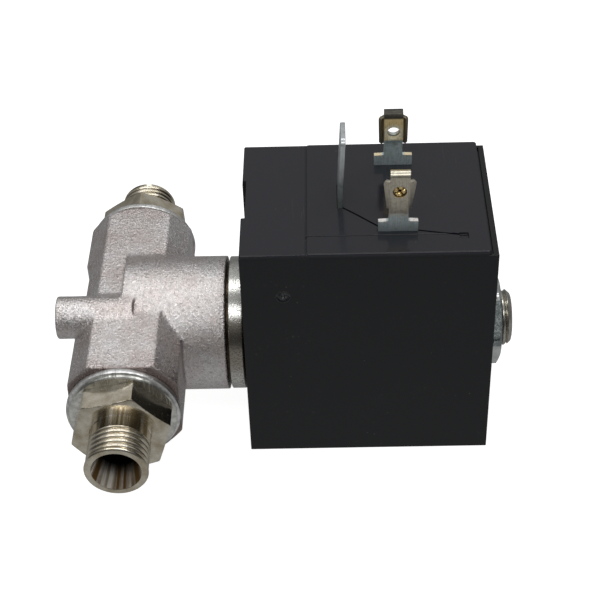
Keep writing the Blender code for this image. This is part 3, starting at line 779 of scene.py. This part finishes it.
def body_distance(x, y, z):
    """Distance field of the valve body: octagonal port section, boss, spigot and passages."""
    boss_r, boss_end = 11.6, -41.2
    centre_x, half_x, half_z, flat = -40.2, 9.0, 9.35, 5.4
    end = BODY[1].y
    across = np.hypot(y, z - AXIS_Z)
    open_end = BODY[1].x

    def bar(radius, low, high, away, along, k):
        return smooth_max(away - radius, np.abs(along - (low + high) / 2) - (high - low) / 2, k)

    boss = bar(boss_r, boss_end, open_end, across, x, 0.15)
    dx, dz = x - centre_x, np.abs(z - AXIS_Z)
    waist = np.clip((9.7 - np.abs(y)) / 2.2, 0.0, 1.0)
    waist = np.where(dx < 0, waist * waist * (3 - 2 * waist), 0.0)
    wide = np.abs(dx)
    slope = atan2(half_z - flat, half_x - flat)
    corner = (wide - half_x) * sin(slope) + (dz - flat) * cos(slope)
    section = smooth_max(smooth_max(wide + waist - half_x, dz - half_z, 0.2), corner, 0.22)
    beyond = np.abs(y) - end
    out = np.hypot(dx, dz)
    chamfer = np.where(y > 0, (out - 9.3) * 0.81 + beyond * 0.59,
                       (out - 9.75) * 0.5 + beyond * 0.866)
    ends = smooth_max(beyond, chamfer, 0.15)
    section = smooth_max(section, ends, 0.15)
    spigot_y, spigot_z, spigot_r = -6.0, 23.45, 3.6
    spigot = bar(spigot_r, BODY[0].x, -39.2, np.hypot(y - spigot_y, z - spigot_z), x, 0.3)
    solid = smooth_min(smooth_min(section, spigot, 0.7), boss, 0.8)

    # Each bore has a radius, two ends, the distance from its axis and the distance along it:
    # the steps of the tube's seat, the passage beside them, and a socket and a way in per port.
    beside = np.hypot(y - 5.6, z - AXIS_Z)
    from_port = np.hypot(x - PORT_X, z - AXIS_Z)
    bores = [(9.0, -29.5, 0.0, across, x), (7.4, -32.5, -28.0, across, x),
             (3.3, -36.8, -31.0, across, x), (1.55, PORT_X, -36.0, across, x),
             (1.4, PORT_X, -31.0, beside, x)]
    for side, start in ((-1, -2.0), (1, 4.4)):
        bores += [(6.9, 8.0, 30.0, from_port, side * y), (2.2, start, 12.0, from_port, side * y)]
    hollow = np.inf
    for bore in bores:
        hollow = np.minimum(hollow, bar(*bore, 0.2))
    return smooth_max(solid, -hollow, 0.2)


def make_body(paints):
    """The whole forged body as one surface, with a faint waviness, kept inside its CAD box."""
    step = 0.25
    margin = Vector((0.8, 0.8, 0.8))
    points, faces = surface_nets(body_distance, BODY[0] - margin, BODY[1] + margin, step)
    mesh = bpy.data.meshes.new("forged_body")
    mesh.from_pydata((points * MM).tolist(), [], faces.tolist())
    mesh.validate()
    mesh.update()
    relief = 0.012
    moved = []
    for vertex in mesh.vertices:
        at = vertex.co / MM
        wave = noise.noise(at / 2.2) + 0.8 * noise.noise(at / 0.8)
        at += vertex.normal * (wave * relief)
        moved.append([min(max(at[i], BODY[0][i]), BODY[1][i]) * MM for i in range(3)])
    for vertex, co in zip(mesh.vertices, moved):
        vertex.co = co
    mesh.shade_smooth()
    body = add_object("forged_body", mesh)
    stand_for(body, paints["cast"], "valve", "cast_nickel", "valve_body")


def make_nipple(side, heading, turn, paints):
    """Stem, flange, chamfered hexagon, neck, rolled thread and a coned mouth."""
    low, high = NIPPLES[side]
    rim = max(abs(low.y), abs(high.y))
    stem_end = min(abs(low.y), abs(high.y))
    hex_low, hex_high, flats = 23.1, 27.6, 14.7
    flange_r, stem_r = 8.9, 6.5
    mouth_r, pipe_r, bore_r = 4.04, 3.1, 2.25
    thread_start, pitch = 29.97, 1.07
    # The thread's crest, how far before the rim it ends, and the tip as (back from rim, radius).
    crest, plain, tip = {
        "front": (5.06, 0.55, ((0.45, 5.14), (0.28, 5.16), (0.12, 5.06), (0, 4.85))),
        "rear": (4.92, 1.05, ((0.9, 4.88), (0.6, 4.74), (0.25, 4.50), (0, 4.30))),
    }[side]
    cone_depth = (mouth_r - pipe_r) / tan(radians(12))

    profile = [(stem_end, bore_r + 0.3), (stem_end + 0.3, stem_r - 0.35)]
    flange_low = max(abs(WASHERS[side][0].y), abs(WASHERS[side][1].y)) + 0.02
    profile += [(stem_end + 0.6, stem_r), (flange_low - 0.3, stem_r), (flange_low, stem_r - 0.1),
                (flange_low, flange_r - 0.12), (flange_low + 0.1, flange_r),
                (hex_low - 0.15, flange_r), (hex_low - 0.02, flange_r - 0.15), (hex_low, 7.0)]
    profile += hexagon_rows(hex_low + 0.02, hex_high, flats, 7.1, 0.3, low_face_radius=8.4)
    profile += [(hex_high + 0.01, 6.7), (hex_high + 0.02, 5.1), (hex_high + 0.1, crest - 0.04),
                (29.75, crest - 0.04), (29.9, crest)]
    profile += thread_rows(thread_start, rim - plain, crest, pitch)
    profile += [(rim - back, radius) for back, radius in tip]
    profile += [(rim, mouth_r + 0.12), (rim - 0.06, mouth_r + 0.02)]
    profile += [(rim - cone_depth, pipe_r), (26.1, pipe_r), (26.0, pipe_r - 0.1),
                (26.0, bore_r + 0.1), (25.9, bore_r)]
    nipple = turned("port_nipple_" + side, profile, 144, heading, (PORT_X, 0, AXIS_Z), turn,
                    closed=True, sharp=32)
    stand_for(nipple, [paints[key] for key in ("nipple", "bore", "neck", "flange")], "valve",
              "bright_nickel", "nipple_" + side)
    for polygon in nipple.data.polygons:
        middle = polygon.center / MM
        across = hypot(middle.x - PORT_X, middle.z - AXIS_Z)
        if across < mouth_r + 0.05:
            polygon.material_index = 1
        elif hex_high < abs(middle.y) < 29.95 and across < 5.3:
            polygon.material_index = 2
        elif abs(middle.y) < hex_low and across > 7.2:
            polygon.material_index = 3


def make_washer(side, heading, paints):
    """Soft washer between the body and a nipple's flange."""
    low, high = WASHERS[side]
    inner, outer = 6.8, (high.x - low.x) / 2
    near, far = BODY[1].y + 0.02, max(abs(low.y), abs(high.y))
    profile = [(near, inner), (near, outer), (far, outer), (far, inner)]
    washer = turned("sealing_washer_" + side, profile, 128, heading, (PORT_X, 0, AXIS_Z),
                    closed=True, ease=0.22, sharp=50)
    stand_for(washer, paints["washer"], "valve", "aluminium", "washer_" + side)


def make_collar(paints):
    """Bright ring between the body and the coil, with its groove and a skirt that is drawn
    without the real skirt's thread.
    """
    radius = (COLLAR[1].z - COLLAR[0].z) / 2
    face = COLLAR[1].x
    ring, groove, bore, skirt = COLLAR[0].x + 3.15, 10.6, 5.3, 8.7
    profile = [(COLLAR[0].x, bore), (COLLAR[0].x, skirt), (ring - 0.6, skirt),
               (ring - 0.35, groove - 0.5), (ring - 0.35, groove), (ring + 0.1, groove),
               (ring + 0.1, radius - 0.12), (ring + 0.22, radius),
               (face - 0.35, radius), (face - 0.12, radius - 0.15), (face, radius - 0.5),
               (face, bore)]
    collar = turned("bright_collar", profile, 160, closed=True, ease=0.06, sharp=42)
    stand_for(collar, paints["collar"], "valve", "zinc", "tube_collar")


def make_nut(paints):
    """The coil's nut: a hexagon that is chamfered at both ends."""
    low, high = NUT[0].x, NUT[1].x
    flats, bore = 14.0, 5.15
    profile = [(low, bore + 0.25), (low, 6.3)]
    profile += hexagon_rows(low + 0.02, high, flats, 6.85, 0.45, low_face_radius=6.3)
    profile += [(high, bore + 0.45), (high - 0.4, bore)]
    nut = turned("hex_coil_nut", profile, 144, turn=radians(49.5), closed=True, sharp=32)
    stand_for(nut, paints["nut"], "valve", "zinc", "coil_nut")


def make_core(paints):
    """Fixed core with the groove for its shading ring, and the threaded stub."""
    face, end = CORE[0].x, CORE[1].x
    core_r, crest, stub = 4.3, 4.85, 17.3
    profile = [(face, 0), (face, 2.7), (face + 1.5, 2.7), (face + 1.5, 3.9), (face, 3.9),
               (face, core_r - 0.1), (face + 0.1, core_r), (stub, core_r), (stub, 4.4)]
    profile += thread_rows(stub + 0.3, end - 0.35, crest, 1.0, lead_in=0.5)
    profile += [(end - 0.30, 4.36), (end - 0.12, 4.15), (end - 0.02, 3.8), (end, 3.4),
                (end, 0.9), (end - 0.5, 0)]
    core = turned("threaded_core", profile, 128, sharp=32)
    stand_for(core, paints["stub"], "valve", "stainless", "fixed_core")


def groove(name, route, radius, z, deep=1.0):
    """A thin round cutter along a route on the coil's top, stretched downwards."""
    bm = bmesh.new()
    rings = []
    for i, (x, y) in enumerate(route):
        before = Vector(route[max(i - 1, 0)])
        after = Vector(route[min(i + 1, len(route) - 1)])
        ahead = (after - before).normalized()
        side = Vector((-ahead.y, ahead.x))
        ring = []
        for angle in around(8):
            out = side * (radius * cos(angle))
            ring.append(bm.verts.new((x + out.x, y + out.y, z + radius * deep * sin(angle))))
        rings.append(ring)
    join_rings(bm, rings, caps=True)
    return finish_mesh(name, bm)


def make_coil(paints):
    """Moulded coil block: raised lid in two parts, seam, crack line, notch and gate mark."""
    low, high = BLOCK
    lid, step, seam = high.z, 0.85, -9.8
    shell = block("coil_block", low, (high.x, high.y, lid - step), 0.14)
    sunk = lid - step - 1.2
    right = plate("lid_right", (seam, low.y + 0.02, sunk), (19.15, high.y - 0.02, lid), 0.5, 0.28)
    left = plate("lid_left", (low.x + 0.05, low.y + 0.03, sunk),
                 (seam + 1.5, high.y - 0.03, lid - 0.15), 0.3, 0.24)
    ridge = block("strip_ridge", (seam - 0.1, -10.42, lid - 0.3), (15.2, -10.16, lid + 0.08),
                  0.06)
    for part in (right, left, ridge):
        boolean(shell, part, "UNION")
    bake(shell)

    crack = [(-4.0, -2.9), (-1.6, -5.0), (1.5, -7.9), (2.6, -8.75), (8.3, -9.35), (12.0, -10.1),
             (15.4, -10.75)]
    gate = [(14.70, 0), (14.72, 0.22), (14.93, 0.40), (14.90, 0.7), (14.78, 0.9),
            (14.80, 1.05), (15.4, 1.1), (15.4, 0)]
    room = block("frame_room", (-18.3, -11.3, 1.7), (18.3, 11.3, 31.3))
    boolean(room, block("potting", (-14.7, -15.0, 5.3), (14.7, 15.0, 27.7)))
    cutters = [
        block("notch", (low.x - 1, -5.1, 30.0), (low.x + 0.7, 5.1, lid + 1), 0.15),
        groove("seam_line", [(seam - 0.08, low.y - 1), (seam - 0.08, high.y + 1)], 0.12,
               lid - 0.1),
        block("rim_line", (19.16, low.y + 0.5, lid - step - 0.45),
              (19.5, high.y - 0.7, lid + 1), 0.03),
        groove("crack_line", crack, 0.17, lid + 0.02, 2.6),
        block("end_dimple", (14.4, -11.6, lid - 0.35), (15.9, -10.1, lid + 1), 0.15),
        turned("gate_mark", gate, 40, "-Y", (GATE_X, 0, GATE_Z)),
        rod("tube_bore", low.x - 1, high.x + 1, 5.3),
        rod("nut_recess", high.x - 1.2, high.x + 1, 6.4),
        rod("winding_room", -14.9, 14.9, 11.6),
        bake(room),
    ]
    fit, half, blade_x = 0.02, 3.15, 4.75
    for side, centre in (("front", -BLADE_Y), ("rear", BLADE_Y)):
        near = (blade_x - half - fit, centre - BLADE_THICK / 2 - fit, 22.5)
        far = (blade_x + half + fit, centre + BLADE_THICK / 2 + fit, lid + 1)
        cutters.append(block("slot_" + side, near, far))
    cutters.append(block("slot_tab", (TAB[0].x - fit, -half - fit, 31.0),
                         (TAB[0].x + 0.83, half + fit, lid + 1)))
    for cutter in cutters:
        boolean(shell, cutter)
    bake(shell, 30)
    even_normals(shell)
    stand_for(shell, paints["plastic"], "coil", "black_plastic", "coil_housing")


def strip_mesh(stations, thickness):
    """A strip up Z that bends in Y; a station is (y, z, half width, direction in YZ)."""
    bm = bmesh.new()
    rings = []
    for y, z, half, (ahead_y, ahead_z) in stations:
        ring = []
        for across, depth in ((-1, -1), (1, -1), (1, 1), (-1, 1)):
            ring.append(bm.verts.new((across * half, y + depth * ahead_z * thickness / 2,
                                      z - depth * ahead_y * thickness / 2)))
        rings.append(ring)
    join_rings(bm, rings, caps=True)
    return bm


def lean_over(obj, top, lean):
    """Leans a blade along X, from nothing at the lid to its full lean at the top."""
    for vertex in obj.data.vertices:
        share = max(0.0, (vertex.co.z / MM - LID_TOP) / (top - LID_TOP))
        vertex.co.x += lean * share * MM


def make_blade(side, paints):
    """A folded power terminal: shoulders, neck, wings bent inward, pierced flap."""
    low, high = BLADES[side]
    base, thick, fold_r = LID_TOP, BLADE_THICK, 0.55
    # How far the wings reach at their bottom and top and how many degrees they bend, how high
    # the flap ends, how far the top leans, and the terminal's place and turn.
    wing_bottom, wing_top, bend, flap_end, lean, depth, turn = {
        "front": (0.36, 1.04, 25, 6.3, 0.35, -BLADE_Y, 0.0),
        "rear": (0.85, 0.95, 36, 5.7, 0.0, BLADE_Y, pi),
    }[side]
    shoulder, neck = (high.x - low.x) / 2, 1.55
    up, down = (0.0, 1.0), (0.0, -1.0)
    fold = high.z - fold_r - thick / 2
    stations = [(0, low.z, shoulder, up), (0, base + 1.9, shoulder, up),
                (0, base + 2.0, neck, up), (0, fold, neck, up)]
    steps = 14
    for i in range(1, steps + 1):
        angle = pi * i / steps
        stations.append((fold_r * (1 - cos(angle)), fold + fold_r * sin(angle), neck,
                         (sin(angle), cos(angle))))
    stations.append((2 * fold_r + 0.05, base + flap_end, neck, down))
    blade = finish_mesh("power_blade_" + side, strip_mesh(stations, thick))

    root = 1.45
    tip = root + wing_top
    outline = [(root - 0.25, base + 4.45), (root + wing_bottom, base + 4.45),
               (tip, base + 8.9), (tip - 0.05, base + 9.25), (tip - 0.3, base + 9.45),
               (root - 0.25, base + 9.5)]
    for sign in (-1, 1):
        wing = slab([(sign * x, -thick / 2 + 0.03, z) for x, z in outline],
                    (0, thick - 0.15, 0))
        spin = Matrix.Rotation(sign * radians(bend), 3, "Z")
        bmesh.ops.rotate(wing, cent=(sign * 1.5, 0, 0), matrix=spin, verts=wing.verts)
        boolean(blade, finish_mesh(f"wing_{side}_{sign}", wing), "UNION")
    boolean(blade, turned("hole_" + side, [(-3, 0), (-3, 1.1), (4, 1.1), (4, 0)], 40, "Y",
                          (0, 0, base + HOLE_RISE[side])))
    bake(blade)
    soften(blade, 0.09)
    lean_over(blade, high.z, lean)
    middle = Vector(((low.x + high.x) / 2, depth, 0))
    blade.data.transform(Matrix.Translation(middle * MM) @ Matrix.Rotation(turn, 4, "Z"))
    stand_for(blade, paints["blade"], "coil", "brass", "terminal_" + side)


def make_burrs(paints):
    """The pierced, splayed end of the front terminal's flap: four petals that fill its hole."""
    bm = bmesh.new()
    rows, sides, radius, back = 9, 64, 1.06, 0.45
    grid = []
    for i in range(rows + 1):
        share = i / rows
        ring = []
        for angle in around(sides):
            petal = abs(cos(2 * angle)) ** 0.7
            rise = 0.55 * petal * (share * (1.0 - share) * 4.0) ** 0.8 - 0.15 * (1.0 - share)
            r = radius * (0.12 + 0.88 * share)
            ring.append(bm.verts.new((r * cos(angle), -rise, r * sin(angle))))
        grid.append(ring)
    for r in (radius, radius * 0.12):
        grid.append([bm.verts.new((r * cos(angle), back, r * sin(angle)))
                     for angle in around(sides)])
    join_rings(bm, grid + grid[:1])
    tilt = Matrix.Rotation(radians(12), 4, "Y")
    centre = Matrix.Translation((BLADES["front"][0].x + 3.4, -8.85,
                                 LID_TOP + HOLE_RISE["front"]))
    bmesh.ops.transform(bm, matrix=centre @ tilt, verts=bm.verts)
    burrs = finish_mesh("pierced_petals", bm, 60)
    burrs.data.materials.append(paints["burr"])
    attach(burrs, "coil")


def make_tab(paints):
    """Earth blade: rounded top corners, a small pierced hole, and a slight lean."""
    low, high = TAB
    thick, half = BLADE_THICK, (high.y - low.y) / 2
    lean = high.x - low.x - thick
    corner = 1.2
    outline = [(-half, low.z), (half, low.z)]
    steps = 6
    for sign in (1, -1):
        arc = []
        for i in range(steps + 1):
            angle = pi / 2 * i / steps
            arc.append((sign * (half - corner + corner * cos(angle)),
                        high.z - corner + corner * sin(angle)))
        outline += arc if sign > 0 else arc[::-1]
    bm = slab([(low.x, y, z) for y, z in outline], (thick, 0, 0))
    bands = 8
    for i in range(1, bands):
        level = LID_TOP + (high.z - LID_TOP) * i / bands
        geom = bm.verts[:] + bm.edges[:] + bm.faces[:]
        bmesh.ops.bisect_plane(bm, geom=geom, plane_co=(0, 0, level), plane_no=(0, 0, 1))
    tab = finish_mesh("earth_blade", bm)
    boolean(tab, rod("tab_hole", low.x - 1, high.x + 1, 0.85, 32, (0, 0, LID_TOP + 8.2)))
    bake(tab)
    lean_over(tab, high.z, lean)
    soften(tab, 0.1)
    stand_for(tab, paints["tab"], "coil", "tinned", "ground_tab")


def make_winding(paints):
    """Layer-wound copper: each turn shows as a ridge round the winding."""
    low, high = span("winding")
    inner, outer = 7.9, (high.z - low.z) / 2
    wire = 0.42
    turns = int((high.x - low.x) / wire)
    profile = [(low.x, inner)]
    for i in range(turns):
        start = low.x + (high.x - low.x) * i / turns
        for share, rise in ((0.0, 0.16), (0.3, 0.0), (0.5, 0.0), (0.8, 0.06)):
            profile.append((start + wire * share, outer - rise))
    profile += [(high.x, outer - 0.16), (high.x, inner)]
    winding = turned("wound_copper", profile, 64, closed=True, sharp=80)
    stand_for(winding, paints["copper"], "coil", "copper", "winding")


def make_spring(paints):
    """Round-wire return spring with closed ends, drawn at one length on a mesh of its own, though
    the real one shortens as the plunger lifts.
    """
    low, high = span("plunger_spring")
    wire, mean, turns = 0.25, 1.85, 9
    start, end = low.x + wire, high.x - wire
    per_turn, sides = 24, 10
    count = turns * per_turn
    bm = bmesh.new()
    rings = []
    for i in range(count + 1):
        turn = turns * i / count
        share = min(max((turn - 1.0) / (turns - 2.0), 0.0), 1.0)
        closed_end = min(turn, 1.0) * 0.5 + max(0.0, turn - (turns - 1.0)) * 0.5
        along = start + closed_end + (end - start - 1.0) * share
        out = Vector((0, cos(2 * pi * turn), sin(2 * pi * turn)))
        ring = []
        for angle in around(sides):
            at = out * (mean + wire * cos(angle)) + Vector((along + wire * sin(angle), 0, 0))
            ring.append(bm.verts.new(at))
        rings.append(ring)
    join_rings(bm, rings, caps=True)
    bmesh.ops.translate(bm, vec=(0, 0, AXIS_Z), verts=bm.verts)
    spring = finish_mesh("return_spring", bm, 60)
    stand_for(spring, paints["spring"], "valve", "stainless", "plunger_spring")
    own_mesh(spring)


def paint_cad_nodes(paints):
    """The inner pieces keep their CAD shape and get a finished material."""
    chosen = {
        "seat_insert": "brass", "body_seal": "rubber", "nut_seal": "rubber",
        "plunger_seal": "seal", "plunger": "steel", "yoke_frame": "steel",
        "yoke_plate": "steel", "flux_sleeve": "steel", "bobbin": "bobbin",
        "armature_tube": "stub", "shading_ring": "copper", "lead_front": "copper",
        "lead_rear": "copper",
    }
    for node, paint in chosen.items():
        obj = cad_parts[node]
        obj.data.materials.clear()
        obj.data.materials.append(paints[paint])


# ---------------------------------------------------------------- studio

def strip_light(name, angle, distance, radiance):
    """A long soft light across the object; the angle rises from the front over the top."""
    size = (0.75, 0.15)
    light = bpy.data.lights.new(name, "AREA")
    light.shape = "RECTANGLE"
    light.size, light.size_y = size
    light.energy = radiance * pi * size[0] * size[1]
    obj = add_object(name, light)
    aim = Vector((-0.01, 0.0, 0.02))
    away = Vector((0.0, -cos(radians(angle)), sin(radians(angle))))
    obj.location = aim + away * distance
    obj.rotation_euler = (-away).to_track_quat("-Z", "Y").to_euler()


def make_studio():
    """A pale floor, two strip lights, and a world with a dark band at the horizon in front."""
    bm = bmesh.new()
    bmesh.ops.create_grid(bm, x_segments=1, y_segments=1, size=3000)
    floor = finish_mesh("floor", bm)
    floor.location.z = -0.0001
    paint = Paint("pale_floor", specular=0.1)
    settings = {"Base Color": (0.42, 0.42, 0.42, 1), "Roughness": 0.9,
                "Emission Color": (1, 1, 1, 1), "Emission Strength": 0.93}
    for key, value in settings.items():
        paint.shader.inputs[key].default_value = value
    floor.data.materials.append(paint.mat)
    floor.visible_glossy = False

    world = bpy.data.worlds.new("studio")
    bpy.context.scene.world = world
    world.use_nodes = True
    tree = world.node_tree
    place = add_node(tree, "TexCoord").outputs["Generated"]
    split = add_node(tree, "SeparateXYZ", {0: place})
    shades = []
    front = ((0.0, 0.34), (0.42, 0.30), (0.50, 0.06), (0.68, 0.07), (0.80, 0.28), (1.0, 0.34))
    back = ((0.0, 0.22), (0.42, 0.22), (0.50, 0.16), (0.68, 0.30), (0.82, 0.50), (1.0, 0.38))
    for levels in (front, back):
        lift = add_node(tree, "MapRange", {"Value": split.outputs["Z"], "From Min": -1.0})
        ramp = add_node(tree, "ValToRGB", {"Fac": lift.outputs["Result"]})
        stops = ramp.color_ramp.elements
        for i, (position, level) in enumerate(levels):
            stop = stops[i] if i < 2 else stops.new(position)
            stop.position = position
            stop.color = (level, level, level, 1)
        shades.append(ramp.outputs["Color"])
    turn = add_node(tree, "MapRange", {"Value": split.outputs["Y"], "From Min": -0.4,
                                       "From Max": 0.4})
    blend = add_node(tree, "Mix", {0: turn.outputs["Result"], 6: shades[0], 7: shades[1]},
                     data_type="RGBA")
    tree.links.new(blend.outputs[2], tree.nodes["Background"].inputs["Color"])

    strip_light("front_strip", 59, 0.60, 3.0)
    strip_light("top_strip", 108, 0.60, 3.0)


def make_camera():
    data = bpy.data.cameras.new("camera")
    data.lens = 92.52
    data.sensor_width = 36.0
    data.clip_start = 0.005
    camera = add_object("camera", data)
    camera.location = (-0.006107, -0.202106, 0.194229)
    camera.rotation_euler = (radians(49.432), radians(1.563), radians(0.153))
    bpy.context.scene.camera = camera


def main():
    make_camera()
    make_studio()
    bpy.context.scene.view_settings.view_transform = "Standard"
    paints = make_paints()
    make_body(paints)
    make_nipple("front", "-Y", radians(13), paints)
    make_nipple("rear", "Y", radians(28), paints)
    for side, heading in (("front", "-Y"), ("rear", "Y")):
        make_washer(side, heading, paints)
        make_blade(side, paints)
    make_collar(paints)
    make_nut(paints)
    make_core(paints)
    make_coil(paints)
    make_burrs(paints)
    make_tab(paints)
    make_winding(paints)
    make_spring(paints)
    paint_cad_nodes(paints)


main()
